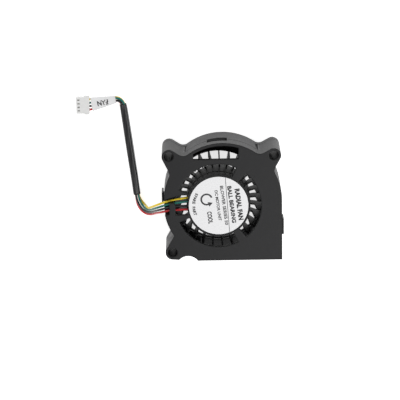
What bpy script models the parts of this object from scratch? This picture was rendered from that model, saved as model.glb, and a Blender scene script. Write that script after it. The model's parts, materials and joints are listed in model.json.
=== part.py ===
"""A small radial blower with its four-wire lead, every piece a separate solid.

The blower lies on its back. Its pieces are modelled round the rotor's axis, from the back face at
z = 0 up to the front face, and hang on an empty that stands on that axis.
"""
import math

import bmesh
import bpy
from mathutils import Matrix, Vector

mm = 0.001

# Clearances
seat_gap = 0.3 * mm                  # between pieces that rest on or in each other
fine_gap = 0.15 * mm                 # between the small pieces on the shaft
overlap = 0.4 * mm                   # how far an added shape sinks into the one that it joins

# Case: a scroll of two discs, an outlet duct and three screw ears
case_depth = 20.0 * mm
wall = 1.2 * mm
back_thickness = 1.4 * mm
face_thickness = 1.6 * mm
seam_height = 0.65 * case_depth
rim_radius = 22.4 * mm               # the scroll's tight side, round the rotor's axis
scroll_radius = rim_radius + 1.85 * mm
scroll_centre = Vector((1.8 * mm, 2.15 * mm))
duct_left = -8.9 * mm
duct_right = scroll_centre.x + scroll_radius
mouth = -rim_radius - 1.1 * mm       # the outlet's open end
plan_scale = rim_radius / 22.4       # of places in the plan, which are stated for a rim of 22.4 mm
rear_inlet_radius = 18.8 * mm

ear_radius = 2.95 * mm
ear_hole_radius = 1.97 * mm
ear_foot = 4.15 * mm                 # where the rear shell's ears end and the front's begin
ear_centres = {
    "top_left": Vector((-20.08, 20.92)) * plan_scale,
    "top_right": Vector((22.83, 20.95)) * plan_scale,
    "bottom_left": Vector((-19.2, -19.9)) * plan_scale,
}
ear_arm_feet = {                     # where each ear's arm sinks into the scroll
    "top_left": ((-13.9, 20.4), (-12.0, 17.0), (-17.0, 12.0), (-19.7, 13.4)),
    "top_right": ((22.2, 13.7), (19.5, 12.0), (14.5, 17.0), (16.6, 20.9)),
    "bottom_left": ((-18.5, -12.8), (-15.5, -13.5), (-8.3, -19.8), (-8.3, -23.5)),
}
arm_fillet = 3.0 * mm                # rounds the corners where the arms meet the scroll
notch_radius = 5.0 * mm              # the hollow between the lower ear and the outlet
notch_centre = Vector((-12.9 * mm, mouth - 2.9 * mm))

# Openings in the front face
inlet_radius = 17.6 * mm
inlet_arcs = ((65, 157), (-50, 50), (203, 297))
window_left, window_right, window_bottom = -10.1 * mm, 8.4 * mm, rim_radius - 2.8 * mm
slot_floor = 0.83 * case_depth       # the lead's slot, from the hub out through the rim
slot_floor_thickness = 1.2 * mm
slot_outline = ((-25.0, 1.8), (-20.3, 3.4), (-16.0, 4.6), (-12.6, 4.9), (-12.6, -3.8), (-25.0, -3.8))
slot_tray_low, slot_tray_high = -5.1 * mm, 5.4 * mm
hook_x = -rim_radius + 3.4 * mm
hook_width = 2.6 * mm
hook_tip = 1.4 * mm
hook_thickness = 1.4 * mm

# Snap latches: a tongue on the front housing hooks over a nose on the rear shell
latch_proud = 0.95 * mm
latch_thickness = 0.7 * mm
latch_bottom = seam_height - 6.0 * mm
latch_top = seam_height + 1.5 * mm
latch_window_bottom, latch_window_top = seam_height - 4.7 * mm, seam_height - 2.9 * mm
left_latch_y, left_latch_width, left_latch_window = 2.5 * mm, 4.0 * mm, 2.6 * mm
right_latch_y, right_latch_width, right_latch_window = -10.9 * mm, 6.5 * mm, 4.4 * mm
nose_bottom, nose_top = seam_height - 4.3 * mm, seam_height - 3.3 * mm
nose_proud = 0.6 * mm
top_latch_x, top_latch_width = -0.3 * mm, 8.2 * mm
top_latch_height = 5.0 * mm

# Hub and bearing tube
hub_radius = 13.1 * mm
hub_wall = 0.8 * mm
hub_rim = 0.65 * mm
hub_bottom = case_depth - 5.3 * mm
hub_plate_top = case_depth - 0.6 * mm
hub_plate = 0.8 * mm
label_thickness = 0.25 * mm
tube_radius = 4.0 * mm
tube_bottom = 5.6 * mm
tube_shoulder_radius = 2.4 * mm
tube_shoulder = 0.8 * mm
tube_top = hub_plate_top - 1.3 * mm

# Bearings and shaft
shaft_radius = 1.0 * mm
shaft_bottom, shaft_top = 2.9 * mm, tube_top - 0.6 * mm
bearing_radius = 3 * shaft_radius
bearing_width = 2.5 * mm
bearing_ring = 0.45 * mm
ball_radius = 0.32 * mm
ball_count = 7
rear_bearing_bottom = 6.0 * mm
front_bearing_bottom = tube_top - 4.5 * mm
spring_wire = 0.4 * mm
spring_turns = 3.5
clip_bottom, clip_thickness, clip_radius = shaft_top - 0.6 * mm, 0.3 * mm, 1.9 * mm
groove_depth = 0.3 * mm

# Stator
core_bottom, core_height = 6.7 * mm, 4.5 * mm
core_radius = 9.3 * mm
core_hub_radius = 5.3 * mm
tooth_width = 2.6 * mm
shoe_depth = 0.8 * mm
shoe_half_angle = 37
pole_count = 4
insulator_thickness = 0.7 * mm
coil_build = 1.3 * mm
coil_inner = 5.6 * mm                # where a coil starts and ends along its tooth
coil_outer = 7.5 * mm

# Circuit board
board_bottom, board_thickness, board_radius = 0.79 * case_depth, 1.0 * mm, hub_radius - 1.5 * mm

# Rotor
magnet_radius, magnet_thickness = 11.2 * mm, 1.5 * mm
magnet_bottom, magnet_top = 4.2 * mm, board_bottom - 2.0 * mm
yoke_thickness = 0.7 * mm
yoke_top = magnet_top + 0.2 * mm
cap_bottom, cap_top = back_thickness + 0.2 * mm, yoke_top + 0.3 * mm
cap_floor = 1.0 * mm
cap_wall = 0.7 * mm
bushing_radius = 2.3 * mm
bushing_flange_radius = 3.2 * mm
bushing_flange = 0.6 * mm
impeller_radius = 19.8 * mm
blade_count = 29
blade_thickness = 0.55 * mm
blade_lean = 5                       # degrees from radial
blade_bottom, blade_top, blade_low_top = 2.0 * mm, 0.745 * case_depth, 7.5 * mm
blade_step_inner, blade_step_outer = 15.4 * mm, 16.2 * mm
tie_ring_width, tie_ring_height = 0.6 * mm, 1.4 * mm

# Lead
wire_diameter = 0.9 * mm
bundle_spacing = wire_diameter + fine_gap
sleeve_radius = 16 / 9 * wire_diameter
sleeve_wall = 0.25 * mm
wire_names = ("yellow", "green", "black", "red")

# Stations along the lead's middle, in millimetres: x, y, z, the wires' spacing while they lie in a
# row, and how far they have closed from that row (0) into a square bundle (1). The plan suits a rim of
# 22.4 mm and the heights a case 20 mm deep, and both follow the real sizes.
lead_stations = (
    (-10.4, 0.55, 17.55, 1.80, 0.00), (-13.0, 0.40, 17.50, 1.70, 0.00), (-16.0, 0.15, 17.40, 1.55, 0.00),
    (-19.0, -0.20, 17.35, 1.42, 0.00), (-21.8, -0.80, 17.35, 1.30, 0.00), (-24.3, -1.80, 16.40, 1.20, 0.00),
    (-26.3, -3.10, 13.60, 1.15, 0.00), (-27.7, -4.50, 10.20, 1.12, 0.05), (-29.3, -5.50, 7.10, 1.10, 0.12),
    (-31.1, -5.20, 4.40, 1.10, 0.30), (-32.7, -3.40, 2.80, 1.10, 0.55), (-33.5, -1.50, 2.00, 1.10, 0.85),
    (-33.95, 0.60, 1.75, 1.10, 1.00), (-34.8, 8.00, 1.70, 1.10, 1.00), (-35.7, 15.0, 1.70, 1.10, 1.00),
    (-36.7, 23.0, 1.70, 1.10, 1.00), (-37.7, 31.0, 1.70, 1.10, 1.00), (-38.4, 36.4, 1.70, 1.10, 1.00),
    (-38.86, 39.15, 1.70, 1.10, 1.00), (-39.45, 40.45, 1.70, 1.10, 1.00), (-40.60, 41.22, 1.70, 1.10, 0.95),
    (-41.80, 41.30, 1.70, 1.10, 0.85), (-44.5, 40.80, 1.70, 1.15, 0.60), (-48.0, 40.08, 1.70, 1.20, 0.25),
    (-51.9, 39.36, 1.70, 1.42, 0.00), (-53.6, 39.20, 1.70, 1.50, 0.00), (-55.0, 39.20, 1.70, 1.50, 0.00),
)
sleeve_first, sleeve_last = 12, 18
tag_first, tag_last = 21, 24
samples_per_span = 2

# Plug
plug_middle = lead_stations[-1][1] * plan_scale
plug_back = -52.7 * plan_scale
plug_front = plug_back - 5.5 * mm
plug_width, plug_height = 7.0 * mm, 3.3 * mm
plug_shoulder_width, plug_shoulder_length = 8.0 * mm, 2.1 * mm
contact_pitch = 1.5 * mm
contact_count = 4
contact_width, contact_height = 0.5 * mm, 0.8 * mm
contact_window_start, contact_window_end = 0.5 * mm, 1.5 * mm   # from the plug's front
wire_hole_radius = wire_diameter / 2 + fine_gap
wire_hole_depth = 2.6 * mm
tag_thickness = 0.2 * mm
tag_clearance = 0.2 * mm

# Where the rotor's axis stands, so that the blower without its lead is centred on the origin
case_left, case_right = -rim_radius - latch_proud, duct_right + latch_proud
case_back, case_front = mouth, scroll_centre.y + scroll_radius
axis_place = Vector((-(case_left + case_right) / 2, -(case_back + case_front) / 2, 0))

materials = {
    "case_plastic": ((0.045, 0.045, 0.048), 0.45, 0.0),
    "impeller_plastic": ((0.015, 0.015, 0.016), 0.4, 0.0),
    "label_film": ((0.82, 0.82, 0.83), 0.45, 0.0),
    "steel": ((0.55, 0.56, 0.58), 0.3, 1.0),
    "core_steel": ((0.3, 0.3, 0.31), 0.5, 1.0),
    "magnet_rubber": ((0.06, 0.055, 0.05), 0.7, 0.0),
    "brass": ((0.75, 0.55, 0.25), 0.3, 1.0),
    "copper": ((0.72, 0.33, 0.16), 0.35, 1.0),
    "insulator_nylon": ((0.75, 0.73, 0.66), 0.5, 0.0),
    "board": ((0.05, 0.2, 0.09), 0.5, 0.0),
    "chip": ((0.03, 0.03, 0.03), 0.5, 0.0),
    "ceramic": ((0.45, 0.36, 0.26), 0.5, 0.0),
    "wire_yellow": ((0.85, 0.6, 0.03), 0.4, 0.0),
    "wire_green": ((0.0, 0.25, 0.2), 0.4, 0.0),
    "wire_black": ((0.02, 0.02, 0.02), 0.4, 0.0),
    "wire_red": ((0.65, 0.03, 0.04), 0.4, 0.0),
    "sleeve_rubber": ((0.03, 0.03, 0.03), 0.5, 0.0),
    "tag_film": ((0.85, 0.85, 0.86), 0.5, 0.0),
    "plug_nylon": ((0.85, 0.85, 0.83), 0.4, 0.0),
}


# ---- Tools -------------------------------------------------------------------------------------

def add_collection(name):
    collection = bpy.data.collections.new(name)
    bpy.context.scene.collection.children.link(collection)
    return collection


def add_materials():
    for name, (colour, roughness, metallic) in materials.items():
        finish = bpy.data.materials.new(name)
        finish.use_nodes = True
        shader = finish.node_tree.nodes["Principled BSDF"]
        shader.inputs["Base Color"].default_value = (*colour, 1)
        shader.inputs["Roughness"].default_value = roughness
        shader.inputs["Metallic"].default_value = metallic


def place(solid, collection):
    """Hang a solid on the rotor's axis and put it in a collection."""
    solid.parent = rotor_axis
    collection.objects.link(solid)


def as_part(solid, name, finish):
    """Make a finished solid one of the blower's parts."""
    solid.name = name
    if solid.name not in parts.objects:
        place(solid, parts)
    solid.data.materials.clear()
    solid.data.materials.append(bpy.data.materials[finish])
    if solid.type == "MESH":
        solid.data.shade_smooth()
        solid.data.set_sharp_from_angle(angle=math.radians(30))
    return solid


def combine(solid, operation, others):
    """Cut the others from a solid, or join them to it."""
    for other in others:
        place(other, tools)
        other.hide_render = True
        other.display_type = "WIRE"
        change = solid.modifiers.new(operation.lower(), "BOOLEAN")
        change.operation = operation
        change.solver = "EXACT"
        change.object = other
    return solid


def cut(solid, *others):
    return combine(solid, "DIFFERENCE", others)


def join(solid, *others):
    return combine(solid, "UNION", others)


def from_bmesh(shape, name="solid"):
    mesh = bpy.data.meshes.new(name)
    shape.to_mesh(mesh)
    shape.free()
    return bpy.data.objects.new(name, mesh)


def cylinder(radius, bottom, top, centre=(0, 0), sides=64):
    shape = bmesh.new()
    middle = Matrix.Translation((centre[0], centre[1], (bottom + top) / 2))
    bmesh.ops.create_cone(shape, cap_ends=True, segments=sides, radius1=radius, radius2=radius,
                          depth=top - bottom, matrix=middle)
    return from_bmesh(shape)


def box(low, high):
    low, high = Vector(low), Vector(high)
    shape = bmesh.new()
    size = Matrix.Diagonal((*(high - low), 1))
    bmesh.ops.create_cube(shape, size=1, matrix=Matrix.Translation((low + high) / 2) @ size)
    return from_bmesh(shape)


def turned(profile, sides=48, closed=False):
    """Turn a profile of (radius, height) points, which runs down its outer side, about the axis."""
    mesh = bpy.data.meshes.new("profile")
    edges = [(i, i + 1) for i in range(len(profile) - 1)]
    if closed:
        edges.append((len(profile) - 1, 0))
    mesh.from_pydata([(radius, 0, height) for radius, height in profile], edges, [])
    solid = bpy.data.objects.new("turned", mesh)
    turn = solid.modifiers.new("turn", "SCREW")
    turn.steps = turn.render_steps = sides
    turn.use_merge_vertices = True
    turn.merge_threshold = 1e-6
    return solid


def ring(inner, outer, bottom, top, sides=32):
    return turned([(inner, top), (outer, top), (outer, bottom), (inner, bottom)], sides, closed=True)


def arc(centre, radius, start, end, steps):
    """Points on an arc, with its angles in degrees."""
    angles = [math.radians(start + (end - start) * i / steps) for i in range(steps + 1)]
    return [(centre[0] + radius * math.cos(a), centre[1] + radius * math.sin(a)) for a in angles]


def prism(outlines, bottom, top):
    """Thicken a flat outline, or an outline and its holes, between two heights."""
    curve = bpy.data.curves.new("outline", "CURVE")
    curve.dimensions = "2D"
    curve.fill_mode = "BOTH"
    curve.extrude = (top - bottom) / 2
    for outline in outlines:
        spline = curve.splines.new("POLY")
        spline.points.add(len(outline) - 1)
        for point, (x, y) in zip(spline.points, outline):
            point.co = (x, y, 0, 1)
        spline.use_cyclic_u = True
    flat = bpy.data.objects.new("outline", curve)
    flat.location.z = (top + bottom) / 2
    return as_mesh(flat)


def as_mesh(curve_object):
    """Make a mesh object of a curve object, with its caps welded on, and remove the curve."""
    bpy.context.scene.collection.objects.link(curve_object)
    graph = bpy.context.evaluated_depsgraph_get()
    mesh = bpy.data.meshes.new_from_object(curve_object.evaluated_get(graph))
    shape = bmesh.new()
    shape.from_mesh(mesh)
    bmesh.ops.remove_doubles(shape, verts=shape.verts, dist=1e-6)
    bmesh.ops.recalc_face_normals(shape, faces=shape.faces)
    shape.to_mesh(mesh)
    shape.free()
    solid = bpy.data.objects.new("from_curve", mesh)
    solid.matrix_world = curve_object.matrix_world
    bpy.data.objects.remove(curve_object)
    return solid


def sector(inner, outer, start, end, bottom, top, steps=14):
    outline = arc((0, 0), outer, start, end, steps) + arc((0, 0), inner, end, start, steps)
    return prism([outline], bottom, top)


def hull(points, bottom, top):
    """The solid stretched round some points, between two heights."""
    shape = bmesh.new()
    for height in (bottom, top):
        for x, y in points:
            shape.verts.new((x, y, height))
    bmesh.ops.convex_hull(shape, input=shape.verts, use_existing_faces=False)
    bmesh.ops.dissolve_limit(shape, angle_limit=math.radians(1), verts=shape.verts, edges=shape.edges)
    return from_bmesh(shape)


def turn_copy(solid, name, finish, degrees):
    """Another part with the same mesh, turned about the rotor's axis."""
    copy = bpy.data.objects.new(name, solid.data)
    copy.rotation_euler.z = math.radians(degrees)
    return as_part(copy, name, finish)


# ---- Case --------------------------------------------------------------------------------------

def scroll(inset, bottom, top, past_mouth=0.0):
    """The scroll and duct as one solid, drawn in by the inset from the case's outline."""
    wide = cylinder(scroll_radius - inset, bottom, top, scroll_centre, sides=72)
    tight = cylinder(rim_radius - inset, bottom, top, sides=72)
    duct = box((duct_left + inset, mouth - past_mouth, bottom),
               (duct_right - inset, scroll_centre.y, top))
    return join(wide, tight, duct)


def ear_arms(bottom, top):
    """The three ears with the arms that carry them, which sink into the scroll's wall."""
    arms = []
    for name, centre in ear_centres.items():
        feet = [Vector(foot) * plan_scale for foot in ear_arm_feet[name]]
        arms.append(hull(arc(centre, ear_radius, 0, 345, 23) + feet, bottom, top))
        wall_centre, wall_radius = scroll_centre, scroll_radius
        if name == "bottom_left":
            wall_centre, wall_radius = Vector((0, 0)), rim_radius
        else:
            arms.append(fillet(centre, feet[0], 1, wall_centre, wall_radius, bottom, top))
        last = feet[0] if name == "bottom_left" else feet[-1]
        arms.append(fillet(centre, last, -1, wall_centre, wall_radius, bottom, top))
    return arms


def fillet(ear, foot, side, wall_centre, wall_radius, bottom, top):
    """Fills the inner corner between a round wall and the edge that runs from an ear to a foot.

    The side is 1 where the open air lies to the left of that run, and -1 to its right.
    """
    run = foot - ear
    lean = math.asin(ear_radius / run.length) * -side
    along = Matrix.Rotation(lean, 2) @ run.normalized()
    out = Vector((-along.y, along.x)) * side
    start = foot + out * arm_fillet - wall_centre
    ahead = start.dot(along)
    reach = start.length_squared - (wall_radius + arm_fillet) ** 2
    middle = wall_centre + start + along * (-ahead - math.sqrt(ahead ** 2 - reach))
    on_edge = middle - out * arm_fillet
    on_wall = middle + (wall_centre - middle).normalized() * arm_fillet
    first = math.degrees(math.atan2(*(on_wall - middle).yx))
    sweep = math.degrees((on_wall - middle).angle_signed(on_edge - middle))
    inner = on_edge + on_wall - middle
    return prism([arc(middle, arm_fillet, first, first - sweep, 8) + [inner]], bottom, top)


def ear_drills(bottom, top):
    return [cylinder(ear_hole_radius, bottom, top, centre, sides=24) for centre in ear_centres.values()]


def notch(bottom, top):
    return cylinder(notch_radius, bottom, top, notch_centre, sides=32)


def latch_seat(bottom, top):
    """The opening in the wall at the top, across the seam."""
    low = (top_latch_x - top_latch_width / 2, scroll_centre.y + scroll_radius - 4 * wall, bottom)
    high = (top_latch_x + top_latch_width / 2, scroll_centre.y + scroll_radius + wall, top)
    return box(low, high)


def make_rear_shell():
    top = seam_height - seat_gap / 2
    shell = scroll(0, 0, top)
    join(shell, *ear_arms(0, ear_foot - seat_gap / 2))
    cut(shell, scroll(wall, back_thickness, case_depth, past_mouth=wall))
    cut(shell, cylinder(rear_inlet_radius, -wall, 2 * back_thickness))
    cut(shell, *ear_drills(-wall, case_depth), notch(-wall, case_depth))
    cut(shell, latch_seat(seam_height - top_latch_height / 2, case_depth))
    for wall_x, side, middle, width in ((-rim_radius, -1, left_latch_y, left_latch_window),
                                        (duct_right, 1, right_latch_y, right_latch_window)):
        half_width = width / 2 - overlap
        ends = sorted((wall_x + side * nose_proud, wall_x - side * 2 * overlap))
        join(shell, box((ends[0], middle - half_width, nose_bottom), (ends[1], middle + half_width, nose_top)))
    as_part(shell, "rear_shell", "case_plastic")


def latch_tongue(wall_x, side, middle, width, window_width):
    """A tongue clear of the rear shell's wall, with its window, and the bridge that it hangs from."""
    outer = wall_x + side * latch_proud
    tongue_ends = sorted((outer, outer - side * latch_thickness))
    bridge_ends = sorted((outer - side * latch_thickness / 2, wall_x - side * 2 * overlap))
    tongue = box((tongue_ends[0], middle - width / 2, latch_bottom),
                 (tongue_ends[1], middle + width / 2, latch_top))
    bridge = box((bridge_ends[0], middle - width / 2 + overlap, seam_height + seat_gap),
                 (bridge_ends[1], middle + width / 2 - overlap, latch_top - fine_gap))
    window = box((wall_x - wall, middle - window_width / 2, latch_window_bottom),
                 (wall_x + wall, middle + window_width / 2, latch_window_top))
    return bridge, cut(tongue, window)


def hub_cup():
    """The motor's cup, its rim round the label, and the bearing tube with its shoulder."""
    bore = bearing_radius + seat_gap
    shoulder_bottom = rear_bearing_bottom + bearing_width + seat_gap
    shoulder_top = shoulder_bottom + tube_shoulder
    inner = hub_radius - hub_wall
    rim = hub_radius - hub_rim
    plate_bottom = hub_plate_top - hub_plate
    return turned([
        (0, hub_plate_top), (rim, hub_plate_top), (rim, case_depth), (hub_radius, case_depth),
        (hub_radius, hub_bottom), (inner, hub_bottom), (inner, plate_bottom), (tube_radius, plate_bottom),
        (tube_radius, tube_bottom), (bore, tube_bottom), (bore, shoulder_bottom),
        (tube_shoulder_radius, shoulder_bottom), (tube_shoulder_radius, shoulder_top),
        (bore, shoulder_top), (bore, tube_top), (0, tube_top)], sides=48)


def make_front_housing():
    bottom = seam_height + seat_gap / 2
    housing = scroll(0, bottom, case_depth)
    join(housing, *ear_arms(ear_foot + seat_gap / 2, case_depth))
    clear_below = scroll(-seat_gap, 0, bottom)
    cut(housing, clear_below)
    cut(housing, scroll(wall, 0, case_depth - face_thickness, past_mouth=wall))
    join(housing, box((-rim_radius + wall / 2, slot_tray_low, slot_floor - slot_floor_thickness),
                      (-inlet_radius - fine_gap, slot_tray_high, case_depth - face_thickness / 2)))
    cut(housing, *ear_drills(-wall, 2 * case_depth), notch(-wall, 2 * case_depth))
    cut(housing, latch_seat(0, seam_height + top_latch_height / 2))
    for start, end in inlet_arcs:
        cut(housing, sector(hub_radius - overlap, inlet_radius, start, end, seam_height, 2 * case_depth))
    cut(housing, window_cutter(), cylinder(hub_radius - overlap, seam_height, 2 * case_depth, sides=48))
    join(housing, hub_cup())
    slot = [(x * plan_scale, y * mm) for x, y in slot_outline]
    cut(housing, prism([slot], slot_floor, 2 * case_depth))
    cut(housing, box((-hub_radius, slot[-2][1], slot_floor),
                     (-hub_radius + 2 * hub_wall, slot[-3][1], hub_plate_top - hub_plate)))
    cut(housing, slot_gap_cutter())
    hook_bottom = case_depth - hook_thickness
    hook_end = hook_tip - hook_width / 2
    join(housing, box((hook_x - hook_width / 2, slot_tray_low, hook_bottom),
                      (hook_x + hook_width / 2, hook_end, case_depth)))
    join(housing, cylinder(hook_width / 2, hook_bottom, case_depth, (hook_x, hook_end), sides=20))
    join(housing, *latch_tongue(-rim_radius, -1, left_latch_y, left_latch_width, left_latch_window))
    join(housing, *latch_tongue(duct_right, 1, right_latch_y, right_latch_width, right_latch_window))
    as_part(housing, "front_housing", "case_plastic")


def window_cutter():
    """The window over the blades: a straight sill and sides under the scroll's inner arc."""
    radius = scroll_radius - wall
    start = math.degrees(math.acos((window_right - scroll_centre.x) / radius))
    end = 90 + math.degrees(math.asin((scroll_centre.x - window_left) / radius))
    outline = [(window_left, window_bottom), (window_right, window_bottom)]
    outline += arc(scroll_centre, radius, start, end, 12)
    return prism([outline], seam_height + wall, 2 * case_depth)


def slot_gap_cutter():
    """Where the slot crosses the front inlet it has no floor."""
    angle = math.degrees(math.asin(-slot_outline[-1][1] * mm / inlet_radius))
    return sector(hub_radius + 0.01 * mm, inlet_radius, 180 - angle, 180 + angle, hub_bottom, case_depth,
                  steps=10)


# ---- Motor -------------------------------------------------------------------------------------

def pole_outline(hub, shoe_inner, shoe_outer, half_angle, tooth):
    """The outline of a hub with straight teeth that end in curved shoes."""
    outline = []
    hub_turn = math.degrees(math.asin(tooth / 2 / hub))
    shoe_turn = math.degrees(math.asin(tooth / 2 / shoe_inner))
    half_pitch = 180 / pole_count
    for pole in range(pole_count):
        middle = 2 * half_pitch * pole
        outline += arc((0, 0), hub, middle - half_pitch, middle - hub_turn, 2)[1:]
        outline += arc((0, 0), shoe_inner, middle - shoe_turn, middle - half_angle, 2)
        outline += arc((0, 0), shoe_outer, middle - half_angle, middle + half_angle, 7)
        outline += arc((0, 0), shoe_inner, middle + half_angle, middle + shoe_turn, 2)
        outline += arc((0, 0), hub, middle + hub_turn, middle + half_pitch, 2)
    return outline


def make_stator():
    bore = arc((0, 0), tube_radius + seat_gap, 0, 345, 23)
    core_top = core_bottom + core_height
    laminations = pole_outline(core_hub_radius, core_radius - shoe_depth, core_radius, shoe_half_angle,
                               tooth_width)
    as_part(prism([laminations, bore], core_bottom, core_top), "stator_core", "core_steel")
    frame = pole_outline(core_hub_radius, core_radius - shoe_depth, core_radius - shoe_depth / 4,
                         shoe_half_angle - 12, tooth_width)
    upper_bottom = core_top + seat_gap
    upper_top = upper_bottom + insulator_thickness
    upper = prism([frame, bore], upper_bottom, upper_top)
    post_place = (core_hub_radius + tube_radius + seat_gap) / 2 * math.cos(math.radians(45))
    for x in (-post_place, post_place):
        for y in (-post_place, post_place):
            join(upper, cylinder(0.4 * mm, upper_top - overlap, board_bottom - seat_gap, (x, y), sides=10))
    as_part(upper, "upper_insulator", "insulator_nylon")
    lower_top = core_bottom - seat_gap
    lower_bottom = lower_top - insulator_thickness
    as_part(prism([frame, bore], lower_bottom, lower_top), "lower_insulator", "insulator_nylon")
    make_coils(lower_bottom - seat_gap, upper_top + seat_gap)


def rounded_rectangle(half_width, low, high, corner, steps=4):
    outline = []
    corners = ((half_width, high, 0), (-half_width, high, 90), (-half_width, low, 180), (half_width, low, 270))
    for x, y, turn in corners:
        centre = (x - math.copysign(corner, x), y - corner if y == high else y + corner)
        outline += arc(centre, corner, turn, turn + 90, steps)
    return outline


def make_coils(bottom, top):
    """One winding round each tooth, a rounded loop across the tooth."""
    half_width = tooth_width / 2 + seat_gap
    inner = rounded_rectangle(half_width, bottom, top, 0.3 * mm)
    outer = rounded_rectangle(half_width + coil_build, bottom - coil_build, top + coil_build, 1.2 * mm)
    winding = prism([outer, inner], coil_inner, coil_outer)
    to_tooth = Matrix(((0, 0, 1, 0), (1, 0, 0, 0), (0, 1, 0, 0), (0, 0, 0, 1)))
    winding.data.transform(winding.matrix_world)
    winding.matrix_world = Matrix()
    winding.data.transform(to_tooth)
    for pole in range(pole_count):
        turn_copy(winding, f"coil_{pole + 1}", "copper", 360 / pole_count * pole)
    bpy.data.objects.remove(winding)


def make_board():
    rim = arc((0, 0), board_radius, 0, 352.5, 47)
    bore = arc((0, 0), tube_radius + seat_gap, 0, 345, 23)
    as_part(prism([rim, bore], board_bottom, board_bottom + board_thickness), "circuit_board", "board")
    chips = (
        ("hall_sensor", "chip", 45, 8.6, (1.5, 3.0, 0.9)),
        ("capacitor", "ceramic", 135, 7.6, (2.0, 1.3, 0.9)),
        ("driver_chip", "chip", 225, 7.6, (3.9, 4.9, 1.3)),
        ("resistor", "chip", 315, 7.6, (1.6, 0.8, 0.5)),
    )
    top = board_bottom - seat_gap
    for name, finish, angle, radius, (length, width, height) in chips:
        low = ((radius - length / 2) * mm, -width / 2 * mm, top - height * mm)
        high = ((radius + length / 2) * mm, width / 2 * mm, top)
        chip = box(low, high)
        chip.rotation_euler.z = math.radians(angle)
        as_part(chip, name, finish)


def make_bearing(where, bottom):
    """A ball bearing: its outer ring, its inner ring, and the cage that carries the balls round."""
    top = bottom + bearing_width
    middle = (bottom + top) / 2
    bore = shaft_radius + fine_gap
    as_part(ring(bearing_radius - bearing_ring, bearing_radius, bottom, top), f"{where}_bearing_outer",
            "steel")
    as_part(ring(bore, bore + bearing_ring, bottom, top, sides=20), f"{where}_bearing_inner", "steel")
    track = (bore + bearing_ring + bearing_radius - bearing_ring) / 2
    cage = ring(track - 0.12 * mm, track + 0.12 * mm, middle - 0.45 * mm, middle + 0.45 * mm, sides=21)
    for ball in range(ball_count):
        angle = math.tau * ball / ball_count
        shape = bmesh.new()
        place_ball = Matrix.Translation((track * math.cos(angle), track * math.sin(angle), middle))
        bmesh.ops.create_uvsphere(shape, u_segments=6, v_segments=4, radius=ball_radius, matrix=place_ball)
        join(cage, from_bmesh(shape))
    as_part(cage, f"{where}_ball_cage", "steel")


def make_preload_spring():
    """The coil spring on the tube's shoulder, which pushes the front bearing outward."""
    bottom = rear_bearing_bottom + bearing_width + tube_shoulder + 2 * seat_gap + spring_wire / 2
    top = front_bearing_bottom - seat_gap - spring_wire / 2
    radius = bearing_radius - spring_wire / 2 - 0.05 * mm
    steps = int(spring_turns * 8)
    points = []
    for step in range(steps + 1):
        angle = math.tau * spring_turns * step / steps
        height = bottom + (top - bottom) * step / steps
        points.append(Vector((radius * math.cos(angle), radius * math.sin(angle), height)))
    as_part(tube(points, spring_wire / 2), "preload_spring", "steel")


def make_shaft():
    groove = clip_bottom - fine_gap
    groove_top = clip_bottom + clip_thickness + fine_gap
    neck = shaft_radius - groove_depth
    chamfer = 0.2 * mm
    as_part(turned([
        (0, shaft_top), (shaft_radius - chamfer, shaft_top), (shaft_radius, shaft_top - chamfer),
        (shaft_radius, groove_top), (neck, groove_top), (neck, groove), (shaft_radius, groove),
        (shaft_radius, shaft_bottom), (0, shaft_bottom)], sides=20), "shaft", "steel")
    clip = sector(neck + fine_gap, clip_radius, 30, 330, clip_bottom, clip_bottom + clip_thickness, steps=16)
    as_part(clip, "retaining_clip", "steel")
    washer_bottom = front_bearing_bottom + bearing_width + fine_gap
    bore = shaft_radius + fine_gap
    as_part(ring(bore, bore + bearing_ring, washer_bottom, clip_bottom - fine_gap, sides=20),
            "thrust_washer", "brass")


# ---- Rotor -------------------------------------------------------------------------------------

def make_rotor_cup():
    yoke_radius = magnet_radius + seat_gap + yoke_thickness
    yoke_bottom = cap_bottom + cap_floor + seat_gap
    yoke_floor = yoke_bottom + yoke_thickness
    hole = bushing_radius + seat_gap
    as_part(turned([
        (yoke_radius - yoke_thickness, yoke_top), (yoke_radius, yoke_top), (yoke_radius, yoke_bottom),
        (hole, yoke_bottom), (hole, yoke_floor), (yoke_radius - yoke_thickness, yoke_floor)],
        sides=44, closed=True), "rotor_yoke", "steel")
    as_part(ring(magnet_radius - magnet_thickness, magnet_radius, magnet_bottom, magnet_top, sides=44),
            "ring_magnet", "magnet_rubber")
    bore = shaft_radius + fine_gap
    flange_bottom = yoke_floor + seat_gap
    flange_top = flange_bottom + bushing_flange
    bushing_top = tube_bottom - seat_gap
    as_part(turned([
        (bore, bushing_top), (bushing_radius, bushing_top), (bushing_radius, flange_top),
        (bushing_flange_radius, flange_top), (bushing_flange_radius, flange_bottom),
        (bushing_radius, flange_bottom), (bushing_radius, yoke_bottom), (bore, yoke_bottom)],
        sides=24, closed=True), "shaft_bushing", "brass")


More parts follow.
